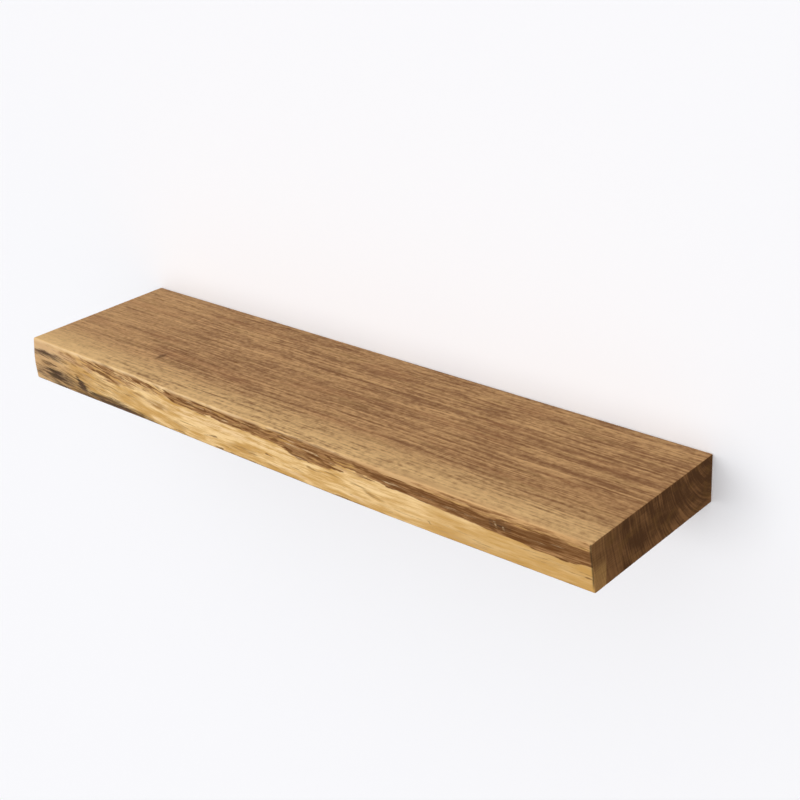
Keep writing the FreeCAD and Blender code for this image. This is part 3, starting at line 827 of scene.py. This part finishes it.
def cut(mesh, cutters):
    """Cut closed meshes out of a mesh, remove all of them, and return the mesh that is left."""
    body = add_object("being_cut", mesh)
    tools = bpy.data.collections.new("cutters")
    bpy.context.scene.collection.children.link(tools)
    for cutter in cutters:
        tools.objects.link(bpy.data.objects.new("cutter", cutter))
    boolean = body.modifiers.new("cut", "BOOLEAN")
    boolean.operation = "DIFFERENCE"
    boolean.solver = "MANIFOLD"
    boolean.operand_type = "COLLECTION"
    boolean.collection = tools
    boolean.material_mode = "TRANSFER"
    seen = body.evaluated_get(bpy.context.evaluated_depsgraph_get())
    result = bpy.data.meshes.new_from_object(seen)
    for spent in (body, *tools.objects):
        bpy.data.objects.remove(spent)
    for spent in (mesh, *cutters):
        bpy.data.meshes.remove(spent)
    bpy.data.collections.remove(tools)
    return result


# ---------------------------------------------------------------- board

BOARD_STEP = 1.2 * MM          # between sections along the board
FRONT_CUTS = 92                # cuts up the live edge between its two arrises
FINE_ZONE = 16 * MM            # behind the live edge, where the sawn faces are cut finely
FINE_STEP = 1.0 * MM
COARSE_STEP = 18 * MM
SUPPORT = 0.5 * MM             # a narrow strip beside each rounded edge keeps the flat faces flat
PLATE_CORNER = 4.0 * MM        # radius of a wall plate's corners
BORE_MOUTH = 1.0 * MM          # chamfer where a bore opens into its pocket
DRILL_POINT = 2.0 * MM         # the cone that the drill leaves at the end of a bore
BORE_STEPS = 48
ROLL_STARTS = (130, 200)       # millimetres along the board between which the top arris begins to fall away
ROLL_FADES = (255, 292)        # and between which it grows sharp again towards the end


def outline_board(bm, sizes):
    """Draw the board's cross-section at its left end, with rounded corners."""
    half = sizes.thickness / 2
    left = -sizes.length / 2
    places = ((0, -half), (-sizes.depth, -half), (-sizes.depth, half), (0, half))
    radii = (sizes.sawn_edge, sizes.bottom_arris, sizes.top_arris, sizes.sawn_edge)
    segments = (2, 5, 6, 2)
    corners = [bm.verts.new((left, y, z)) for y, z in places]
    bm.faces.new(corners)
    for corner, radius, count in zip(corners, radii, segments):
        bevel(bm, [corner], radius, count, affect="VERTICES")
    bmesh.ops.delete(bm, geom=bm.faces[:], context="FACES_ONLY")


def split(bm, geometry, place, across):
    """Split edges where they cross a plane."""
    bmesh.ops.bisect_plane(bm, geom=geometry, dist=TOUCH / 10, plane_co=place, plane_no=across)


def split_outline(bm, sizes):
    """Split the cross-section finely near the live edge and coarsely elsewhere."""
    half = sizes.thickness / 2
    fine_end = -sizes.depth + sizes.top_arris + FINE_ZONE
    fine = np.arange(-sizes.depth + sizes.top_arris + SUPPORT, fine_end, FINE_STEP)
    coarse = np.arange(fine_end, -COARSE_STEP / 2, COARSE_STEP)
    for y in [*fine, *coarse, -sizes.sawn_edge - SUPPORT]:
        split(bm, bm.verts[:] + bm.edges[:], (0, float(y), 0), (0, 1, 0))
    for z in (sizes.sawn_edge + SUPPORT - half, half - sizes.sawn_edge - SUPPORT):
        back = [edge for edge in bm.edges if all(vert.co.y > -TOUCH for vert in edge.verts)]
        split(bm, back + list({vert for edge in back for vert in edge.verts}), (0, 0, z), (0, 0, 1))
    front = [edge for edge in bm.edges if all(vert.co.y < TOUCH - sizes.depth for vert in edge.verts)]
    bmesh.ops.subdivide_edges(bm, edges=front, cuts=FRONT_CUTS)


def plank_mesh(sizes):
    """A straight plank with rounded edges, finely divided where the live edge will be."""
    bm = bmesh.new()
    outline_board(bm, sizes)
    split_outline(bm, sizes)
    made = bmesh.ops.extrude_edge_only(bm, edges=bm.edges[:])["geom"]
    far = [item for item in made if isinstance(item, bmesh.types.BMVert)]
    bmesh.ops.translate(bm, vec=(sizes.length, 0, 0), verts=far)
    lengthwise = [edge for edge in bm.edges if edge.calc_length() > sizes.length / 2]
    cuts = round(sizes.length / BOARD_STEP) - 1
    bmesh.ops.subdivide_edges(bm, edges=lengthwise, cuts=cuts, use_grid_fill=True)
    bmesh.ops.holes_fill(bm, edges=[edge for edge in bm.edges if edge.is_boundary])
    bmesh.ops.recalc_face_normals(bm, faces=bm.faces[:])
    end = sizes.length / 2 - TOUCH
    rims = [edge for edge in bm.edges if all(abs(vert.co.x) > end for vert in edge.verts)]
    bevel(bm, rims, sizes.sawn_edge, 2)
    bmesh.ops.remove_doubles(bm, verts=bm.verts[:], dist=SLIVER)
    return new_mesh(bm, "plank")


def pocket_block(side, centre_x, sizes):
    """The room that a wall plate takes up in the back of the board."""
    low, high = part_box(side + "_wall_plate")
    length = high.x - low.x + 2 * sizes.pocket_gap
    height = high.z - low.z + 2 * sizes.pocket_gap
    bm = block((length, 2 * (sizes.pocket_floor - low.y), height), (centre_x, 0, 0))
    upright = [edge for edge in bm.edges if abs(edge.verts[0].co.y - edge.verts[1].co.y) > TOUCH]
    bevel(bm, upright, PLATE_CORNER + sizes.pocket_gap, 8)
    return bm


def socket_cutters(side, sizes, material):
    """The pocket of a wall plate and the bore of its rod, as closed meshes to cut out of the board."""
    low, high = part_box(side + "_support_rod")
    centre_x, rod = middle(low, high)
    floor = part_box(side + "_wall_plate")[0].y - sizes.pocket_floor
    radius = rod + sizes.bore_gap
    mouth = radius + BORE_MOUTH
    end = low.y - sizes.bore_end
    profile = (
        (0, 0), (mouth, 0), (mouth, floor), (radius, floor - BORE_MOUTH), (radius, end), (0, end - DRILL_POINT)
    )
    pocket = new_mesh(pocket_block(side, centre_x, sizes), side + "_pocket")
    bore = new_mesh(turned(profile, centre_x, BORE_STEPS), side + "_bore")
    for mesh in (pocket, bore):
        mesh.materials.append(material)
    return [pocket, bore]


def live_edge_reach(x, z, sizes):
    """How far the frame's live edge stands in front of the board depth, in metres, at points on the board."""
    node = frame["nodes"]["shelf_board"].data
    corners = [vert.co.copy() for vert in node.vertices]
    tree = BVHTree.FromPolygons(corners, [tuple(face.vertices) for face in node.polygons])
    limit_x = sizes.length / 2 - 1.2 * MM
    limit_z = sizes.thickness / 2 - 1.2 * sizes.top_arris
    reach = np.zeros_like(x)
    for index, (along, up) in enumerate(zip(np.clip(x, -limit_x, limit_x), np.clip(z, -limit_z, limit_z))):
        hit = tree.ray_cast(Vector((along, -1, up)), Vector((0, 1, 0)))[0]
        if hit is None:
            raise RuntimeError(f"the frame has no live edge at x {along:.3f}, z {up:.3f}")
        reach[index] = -sizes.depth - hit.y
    return reach


def hollows(x, height, marks):
    """How deep points of the live edge lie in its waves, ridges, fibres and checks, in shares of the relief."""
    lumps = wave(x, height, 42, 8, 1.0) * 0.5 + 0.5
    ridges = wave(x, height, 16, 1.9, 4.0) * 0.5 + 0.5
    threads = wave(x, height, 6, 0.8, 7.0) * 0.5 + 0.5
    return (
        0.55 * lumps
        + 0.30 * ridges
        + 0.16 * threads
        + 0.55 * (1 - marks["bast"])
        + 0.50 * marks["fibre"]
        + 0.45 * marks["stains_and_painted_shade"] * (0.4 + 0.6 * ridges)
        + 0.8 * single_marks(CRACKS, x, height, ridges * 0.4 - 0.2)
    )


def shape_live_edge(mesh, sizes):
    """Move the front of the plank onto the live edge, roughen it, and write the marks onto the mesh."""
    places = np.zeros(len(mesh.vertices) * 3)
    mesh.vertices.foreach_get("co", places)
    places = places.reshape(-1, 3)
    near = np.flatnonzero(places[:, 1] < -sizes.depth + FINE_ZONE + sizes.top_arris)
    x, y, z = places[near].T
    reach = live_edge_reach(x, z, sizes)
    round_end = np.clip((abs(x) - sizes.length / 2) / sizes.sawn_edge + 1, 0, 1)
    behind = (y + sizes.depth - sizes.sawn_edge * (1 - np.sqrt(1 - round_end**2))) / MM
    x = x / MM
    height = z / MM + sizes.thickness / MM / 2
    marks = live_edge_marks(x, height)
    wear_and_highlight = wave(x, height, 11, 30, 12.0) * 0.5 + 0.5

    follows = 1 - smooth(behind, 2.0, FINE_ZONE / MM)
    in_front = 1 - smooth(behind, 0.2, 2.4)
    rolled = smooth(x, *ROLL_STARTS) * (1 - smooth(x, *ROLL_FADES) * 0.8) * sizes.roll
    rolled_back = (1 - smooth(behind, 0.2, 4.0)) * smooth(height, 28, 38) ** 2 * rolled * 0.9
    rolled_down = (1 - smooth(behind, 0.0, 9.0)) ** 1.5 * rolled * 0.75
    worn_down = (1 - smooth(behind, 0.0, 2.4)) * wear_and_highlight * 0.25 * MM
    places[near, 1] = y - follows * reach + in_front * hollows(x, height, marks) * sizes.relief + rolled_back
    places[near, 2] = z - smooth(height, 30, 36) * (rolled_down + worn_down)
    mesh.vertices.foreach_set("co", places.ravel())

    along = round_end < 0.999
    live = (1 - smooth(behind, 0.5, 1.4)) * along
    crisp = 1 - smooth(x, -50, 40) * 0.55 - smooth(x, 95, 165) * 0.45
    # The arris mark is pale worn wood and a painted highlight along the rounded top arris
    at_arris = np.exp(-(((behind - 0.5) / 0.65) ** 2)) * smooth(height, 35.2, 36.8)
    painted = {name: shown * live for name, shown in marks.items()}
    painted["arris"] = at_arris * (0.35 + 0.65 * wear_and_highlight) * crisp * along
    painted["live"] = live
    for name, shown in painted.items():
        values = np.zeros(len(places), np.float32)
        values[near] = shown
        mesh.attributes.new(name, "FLOAT", "POINT").data.foreach_set("value", values)
    mesh.update()


def harden_ends(mesh, end):
    """Give the sawn ends hard edges, so that their shading stays flat."""
    at_end = [abs(vert.co.x) > end for vert in mesh.vertices]
    for edge in mesh.edges:
        if all(at_end[index] for index in edge.vertices):
            edge.use_edge_sharp = True


class SHELF_OT_board(bpy.types.Operator):
    """Add the oak board, with its live edge, plate pockets and rod bores"""

    bl_idname = "shelf.add_board"
    bl_label = "Board"

    def execute(self, context):
        sizes = context.scene.shelf_board
        oiled = oak_finish(context.scene.shelf_oak)
        bare = bare_oak_finish(context.scene.shelf_oak)
        plank = plank_mesh(sizes)
        plank.materials.append(oiled)
        board = cut(plank, [cutter for side in SIDES for cutter in socket_cutters(side, sizes, bare)])
        board.name = "shelf_board_oak"
        shape_live_edge(board, sizes)
        shade_by_angle(board)
        harden_ends(board, sizes.length / 2 - TOUCH)
        add_piece(board, oiled, "shelf", "shelf_board")
        return {"FINISHED"}


# ---------------------------------------------------------------- hardware

ROD_STEPS = 64
ROD_BURR = 0.3 * MM            # the turned and riveted edges of a rod are eased by about this much

SCREW_STEPS = 40
SCREW_BURR = 0.12 * MM
NECK_START = 0.8 * MM          # behind the cone of a screw's head, where its shank narrows to the core
NECK_END = 1.4 * MM
RECESS_SPAN = 5.0 * MM         # across a screw's cross recess
RECESS_WIDTH = 1.3 * MM
RECESS_DEPTH = 2.4 * MM
RECESS_FLOOR = (0.42, 1, 0.7)  # how much smaller a recess is at its floor

THREAD_STEPS = 24              # to each turn of a screw thread
THREAD_START = 2.2 * MM        # behind the cone of a screw's head
THREAD_END = 1.6 * MM          # before its tip
THREAD_ROOT = 0.15 * MM        # how deep the ridge is rooted in the core
THREAD_RISE = 0.7              # turns in which the ridge rises to its full height
ROOT_SHARE = 0.22              # half the width of the ridge at its root and its crest, in shares of the pitch
CREST_SHARE = 0.04

PLUG_STEPS = 48
PLUG_LIP = 0.25 * MM           # half the height of a plug's ribs
PLUG_NOSE = 1.0 * MM
RIB_CREST = (0.9 * MM, 0.3 * MM)               # a rib is at its full height between these, before its end


def plate_mesh(side, sizes):
    """A wall plate with the frame's outline and holes, and its punched edges broken."""
    bm = bmesh.new()
    bm.from_mesh(frame["nodes"][side + "_wall_plate"].data)
    bmesh.ops.remove_doubles(bm, verts=bm.verts[:], dist=TOUCH)
    bmesh.ops.dissolve_limit(bm, angle_limit=math.radians(0.5), verts=bm.verts[:], edges=bm.edges[:])
    sharp = [edge for edge in bm.edges if edge.is_manifold and edge.calc_face_angle() > math.radians(40)]
    bevel(bm, sharp, sizes.plate_edge, 2)
    return shade_by_angle(new_mesh(bm, side + "_wall_plate_zinc"), 20)


def rod_mesh(side, sizes):
    """A support rod: a drawn bar with a turned tip, and a spigot that is riveted over at the back."""
    low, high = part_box(side + "_support_rod")
    centre_x, radius = middle(low, high)
    plate_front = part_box(side + "_wall_plate")[0].y
    spigot, burr = sizes.spigot, ROD_BURR
    tip, tip_end = low.y, low.y + sizes.tip_chamfer
    flat = radius - sizes.tip_chamfer
    profile = (
        (0, high.y - 2 * burr),
        (spigot * 0.45, high.y - burr),
        (spigot * 0.8, high.y),
        (spigot - burr, high.y),
        (spigot, high.y - burr),
        (spigot, plate_front + burr / 2),
        (spigot, plate_front),
        (radius - burr, plate_front),
        (radius, plate_front - burr),
        (radius, plate_front - 2 * burr),
        (radius, tip_end + burr),
        (radius, tip_end),
        (radius - 0.15 * burr, tip_end - 0.5 * burr),
        (flat + 0.5 * burr, tip + 0.2 * burr),
        (flat, tip),
        (flat - burr, tip),
        (0, tip),
    )
    return shade_by_angle(new_mesh(turned(profile, centre_x, ROD_STEPS), side + "_support_rod_steel"))


def add_thread(bm, centre_x, start, tip, sizes):
    """Wind the thread's ridge round a screw, rising out of its core at the start and fading into its point."""
    end = tip - THREAD_END
    root = sizes.core - THREAD_ROOT
    half_root = ROOT_SHARE * sizes.pitch
    half_crest = CREST_SHARE * sizes.pitch
    corners = ((root, -half_root), (sizes.crest, -half_crest), (sizes.crest, half_crest), (root, half_root))
    core = set(bm.verts)
    ridge = [bm.verts.new((centre_x + radius, start + offset, 0)) for radius, offset in corners]
    loop = [bm.edges.new((ridge[index - 1], ridge[index])) for index in range(len(ridge))]
    turns = (end - start) / sizes.pitch
    steps = round(turns * THREAD_STEPS)
    bmesh.ops.spin(
        bm,
        geom=loop,
        cent=(centre_x, 0, 0),
        axis=(0, 1, 0),
        dvec=(0, (end - start) / steps, 0),
        angle=turns * math.tau,
        steps=steps,
    )
    for vert in set(bm.verts) - core:
        away = Vector((vert.co.x - centre_x, 0, vert.co.z))
        risen = min(1.0, max(0.0, (vert.co.y - start) / (THREAD_RISE * sizes.pitch)))
        left = min(1.0, max(0.0, (tip - vert.co.y) / sizes.screw_tip))
        wanted = (root + (away.length - root) * risen) * left
        vert.co.x = centre_x + away.x / away.length * wanted
        vert.co.z = away.z / away.length * wanted


def recess_cutters(centre_x, front):
    """The two bars of a cross recess that narrows towards its floor, as closed meshes to cut out of a head."""
    bars = []
    for angle in (0, math.pi / 2):
        bm = block((RECESS_SPAN, 2 * RECESS_DEPTH, RECESS_WIDTH), (0, 0, 0))
        deep = [vert for vert in bm.verts if vert.co.y > 0]
        bmesh.ops.scale(bm, vec=RECESS_FLOOR, verts=deep)
        bmesh.ops.rotate(bm, cent=(0, 0, 0), matrix=Matrix.Rotation(angle, 3, "Y"), verts=bm.verts[:])
        bmesh.ops.translate(bm, vec=(centre_x, front, 0), verts=bm.verts[:])
        bmesh.ops.recalc_face_normals(bm, faces=bm.faces[:])
        bars.append(new_mesh(bm, "recess"))
    return bars


def screw_mesh(fixing, sizes):
    """A countersunk wood screw with a cross recess and a full thread."""
    low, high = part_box(fixing + "_screw")
    centre_x, head = middle(low, high)
    front, tip = low.y, high.y
    core, burr = sizes.core, SCREW_BURR
    cone_end = front + sizes.head_rim + head - sizes.crest
    point = tip - sizes.screw_tip
    profile = (
        (0, front),
        (head - 3 * burr, front),
        (head - burr, front + 0.3 * burr),
        (head, front + burr),
        (head, front + sizes.head_rim),
        (sizes.crest, cone_end),
        (core + burr, cone_end + NECK_START),
        (core, cone_end + NECK_END),
        (core, point),
        (core * 0.55, (point + 2 * tip) / 3),
        (0, tip),
    )
    body = new_mesh(turned(profile, centre_x, SCREW_STEPS), "screw_body")
    bm = reopen(cut(body, recess_cutters(centre_x, front)))
    add_thread(bm, centre_x, cone_end + THREAD_START, tip, sizes)
    close(bm)
    return shade_by_angle(new_mesh(bm, fixing + "_screw_yellow"), 40)


def plug_mesh(fixing, sizes):
    """A ribbed nylon plug: an unslit collar at the mouth, and a slit behind it that lets the screw force it open."""
    low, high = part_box(fixing + "_plug")
    centre_x, radius = middle(low, high)
    bore, lip = sizes.plug_bore, PLUG_LIP
    mouth, collar, nose, end = low.y, low.y + sizes.plug_collar, high.y - PLUG_NOSE, high.y
    ribs = int((nose - collar) / sizes.plug_rib)
    ends = [collar + (rib + 1) * (nose - collar) / ribs for rib in range(ribs)]
    ribbed = []
    for rib_start, rib_end in zip([collar, *ends], ends):
        ribbed += [(radius - 2 * lip, rib_start), *((radius, rib_end - before) for before in RIB_CREST)]
    profile = (
        (bore + lip, mouth),
        (radius - lip, mouth),
        (radius, mouth + lip),
        (radius, collar - lip),
        (radius - lip, collar),
        *ribbed,
        (radius - 0.2 * MM, nose),
        (radius - PLUG_NOSE, end),
        (bore, end),
        (bore, mouth + lip),
        (bore + lip, mouth),
    )
    body = new_mesh(turned(profile, centre_x, PLUG_STEPS), "plug_body")
    slit = block((4 * radius, 2 * (end - collar), sizes.plug_slit), (centre_x, end, 0))
    bm = reopen(cut(body, [new_mesh(slit, "slit")]))
    close(bm)
    return shade_by_angle(new_mesh(bm, fixing + "_plug_nylon"))


def add_hardware(context, names, node, shape, finish):
    """Add one piece of hardware for each name, all with the same shape and finish."""
    material = finish(context.scene.shelf_metals)
    for name in names:
        add_piece(shape(name, context.scene.shelf_hardware), material, "wall_supports", name + node)
    return {"FINISHED"}


class SHELF_OT_wall_plates(bpy.types.Operator):
    """Add the two zinc plated wall plates"""

    bl_idname = "shelf.add_wall_plates"
    bl_label = "Wall plates"

    def execute(self, context):
        return add_hardware(context, SIDES, "_wall_plate", plate_mesh, zinc_finish)


class SHELF_OT_rods(bpy.types.Operator):
    """Add the two steel support rods"""

    bl_idname = "shelf.add_rods"
    bl_label = "Support rods"

    def execute(self, context):
        return add_hardware(context, SIDES, "_support_rod", rod_mesh, bright_steel_finish)


class SHELF_OT_screws(bpy.types.Operator):
    """Add the four countersunk screws"""

    bl_idname = "shelf.add_screws"
    bl_label = "Screws"

    def execute(self, context):
        return add_hardware(context, FIXINGS, "_screw", screw_mesh, yellow_zinc_finish)


class SHELF_OT_plugs(bpy.types.Operator):
    """Add the four nylon wall plugs"""

    bl_idname = "shelf.add_plugs"
    bl_label = "Wall plugs"

    def execute(self, context):
        return add_hardware(context, FIXINGS, "_plug", plug_mesh, nylon_finish)


# ---------------------------------------------------------------- stage

CAMERA_PLACE = (0.71087, -0.73037, 0.46346)
CAMERA_TURN = (64.503, 3.947, 42.057)          # degrees
KEY_TURN = (86, 0, -6.7)                       # degrees: the key stands a little to the left and a little above
WALL_GAP = 0.3 * MM            # the stage's wall stands just behind the plates, so that they don't flicker
WALL_SPAN = 4.0
FLOOR_LEVEL = -1.3
PLAIN_WALL = 0.2               # how much of the wall's paint the camera sees plain and unshaded
PLAIN_FLOOR = 0.85


def one_sided_paint(name, colour, plain):
    """Matt paint that shows on the front of a stage surface only. The camera sees a share of it plain and unshaded."""
    finish = Finish(name, {"Base Color": colour, "Roughness": 1.0, "Specular IOR Level": 0.0})
    behind = finish.node("ShaderNodeNewGeometry", output="Backfacing")
    clear = finish.node("ShaderNodeBsdfTransparent")
    flat = finish.node("ShaderNodeEmission", sockets={"Color": colour, "Strength": 1.0})
    seen = finish.node("ShaderNodeLightPath", output="Is Camera Ray")
    matt = Signal(finish, finish.shader.outputs[0])
    paint = finish.node("ShaderNodeMixShader", sockets={0: seen * plain, 1: matt, 2: flat})
    shown = finish.node("ShaderNodeMixShader", sockets={0: behind, 1: paint, 2: clear})
    finish.feed(finish.tree.nodes["Material Output"].inputs["Surface"], shown)
    return finish.material


def add_stage_plane(name, place, turn_by, material):
    """Add a large flat square of the stage that lights nothing and shades nothing."""
    bm = bmesh.new()
    bmesh.ops.create_grid(bm, x_segments=2, y_segments=2, size=WALL_SPAN / 2)
    bmesh.ops.rotate(bm, cent=(0, 0, 0), matrix=Euler(turn_by).to_matrix(), verts=bm.verts[:])
    bmesh.ops.translate(bm, vec=place, verts=bm.verts[:])
    plane = add_object(name, new_mesh(bm, name))
    plane.data.materials.append(material)
    plane.visible_diffuse = False
    plane.visible_glossy = False
    plane.visible_shadow = False


def add_world(stage):
    """A surround that the camera and gloss see as white, and that lights softly, a little more from above."""
    world = bpy.data.worlds.new("studio")
    world.use_nodes = True
    bpy.context.scene.world = world
    graph = Graph(world.node_tree)
    camera = graph.node("ShaderNodeLightPath", output="Is Camera Ray")
    passed = graph.math("MAXIMUM", camera.output("Is Glossy Ray"), camera.output("Is Transmission Ray"))
    seen = graph.math("MAXIMUM", camera, passed)
    direction = graph.node("ShaderNodeTexCoord", output="Generated")
    up = graph.node("ShaderNodeSeparateXYZ", sockets={0: direction}, output="Z")
    fill = (1 + up * stage.slope) * stage.fill
    background = world.node_tree.nodes["Background"]
    background.inputs["Color"].default_value = (1.0, 1.0, 1.0, 1.0)
    graph.feed(background.inputs["Strength"], fill + seen * (1 - fill))


def add_key(stage):
    """One broad soft light from the left, the front and above."""
    lamp = bpy.data.lights.new("key", "SUN")
    lamp.energy = stage.key
    lamp.angle = stage.softness
    key = add_object("key", lamp)
    key.rotation_euler = [math.radians(angle) for angle in KEY_TURN]


def add_camera(stage):
    """The camera, a little turned about its axis."""
    data = bpy.data.cameras.new("camera")
    data.lens = stage.lens
    data.sensor_width = 36
    data.clip_start = 0.01
    camera = add_object("camera", data)
    camera.location = CAMERA_PLACE
    camera.rotation_euler = [math.radians(angle) for angle in CAMERA_TURN]
    bpy.context.scene.camera = camera


class SHELF_OT_stage(bpy.types.Operator):
    """Add the wall, the floor, the light and the camera"""

    bl_idname = "shelf.add_stage"
    bl_label = "Stage"

    def execute(self, context):
        stage = context.scene.shelf_stage
        middle_height = WALL_SPAN / 2 + FLOOR_LEVEL
        wall_paint = one_sided_paint("wall_paint", stage.wall, PLAIN_WALL)
        add_stage_plane("wall", (0, WALL_GAP, middle_height), (math.pi / 2, 0, 0), wall_paint)
        floor_paint = one_sided_paint("floor_paint", stage.wall, PLAIN_FLOOR)
        add_stage_plane("floor", (0, WALL_GAP - WALL_SPAN / 2, FLOOR_LEVEL), (0, 0, 0), floor_paint)
        add_world(stage)
        add_key(stage)
        add_camera(stage)
        context.scene.view_settings.view_transform = "Standard"
        return {"FINISHED"}


# ---------------------------------------------------------------- add-on

class VIEW3D_PT_shelf(bpy.types.Panel):
    """Sidebar panel with one button for each part of the shelf"""

    bl_label = "Floating Wall Shelf"
    bl_space_type = "VIEW_3D"
    bl_region_type = "UI"
    bl_category = "Shelf"

    def draw(self, context):
        for operator in OPERATORS:
            self.layout.operator(operator.bl_idname)
        for name in GROUPS:
            group = getattr(context.scene, name)
            box = self.layout.box()
            box.label(text=group.bl_rna.description)
            for setting in group.__annotations__:
                box.prop(group, setting)


GROUPS = {
    "shelf_board": BoardSizes,
    "shelf_hardware": HardwareSizes,
    "shelf_oak": OakColours,
    "shelf_metals": MetalColours,
    "shelf_stage": StageSettings,
}
OPERATORS = (
    SHELF_OT_board,
    SHELF_OT_wall_plates,
    SHELF_OT_rods,
    SHELF_OT_screws,
    SHELF_OT_plugs,
    SHELF_OT_stage,
)


def register():
    """Register the classes and hang the property groups on the scene."""
    for each in (*GROUPS.values(), *OPERATORS, VIEW3D_PT_shelf):
        bpy.utils.register_class(each)
    for name, group in GROUPS.items():
        setattr(bpy.types.Scene, name, bpy.props.PointerProperty(type=group))


def unregister():
    """Take everything that register added away again."""
    for name in GROUPS:
        delattr(bpy.types.Scene, name)
    for each in (VIEW3D_PT_shelf, *reversed(OPERATORS), *reversed(GROUPS.values())):
        bpy.utils.unregister_class(each)


def main():
    """Build the shelf and its stage."""
    register()
    for operator in OPERATORS:
        family, name = operator.bl_idname.split(".")
        getattr(getattr(bpy.ops, family), name)()


if __name__ == "__main__":
    main()
